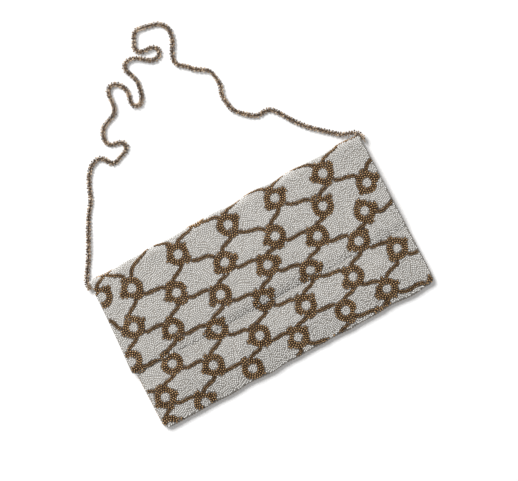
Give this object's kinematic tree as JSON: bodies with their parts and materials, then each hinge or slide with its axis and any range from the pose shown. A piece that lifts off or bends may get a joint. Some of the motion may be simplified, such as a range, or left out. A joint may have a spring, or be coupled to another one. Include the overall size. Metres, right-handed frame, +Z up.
{
  "type": "flap clutch",
  "caption": "Flat beaded evening clutch with a full-width fold-over flap and a thin braided bead strap, lying closed on its back.",
  "frame": {"origin": "centre of the bag's outline, on the surface it lies on", "axes": "+X along the fold, +Y from the foot to the fold, +Z up through the flap"},
  "size_m": [0.2485, 0.2915, 0.0174],
  "materials": {
    "beaded_cloth": "pearly white glass seed beads sewn close together, with bronze bead rings and vines",
    "lining_satin": "cream satin",
    "snap_metal": "plain nickel",
    "strap_beads": "braided strings of bronze seed beads"
  },
  "bodies": {
    "root": {"beaded_back_and_flap": "beaded_cloth", "beaded_front": "beaded_cloth", "lining": "lining_satin", "snap_socket": "snap_metal", "snap_stud": "snap_metal", "strap": "strap_beads"}
  },
  "joints": []
}
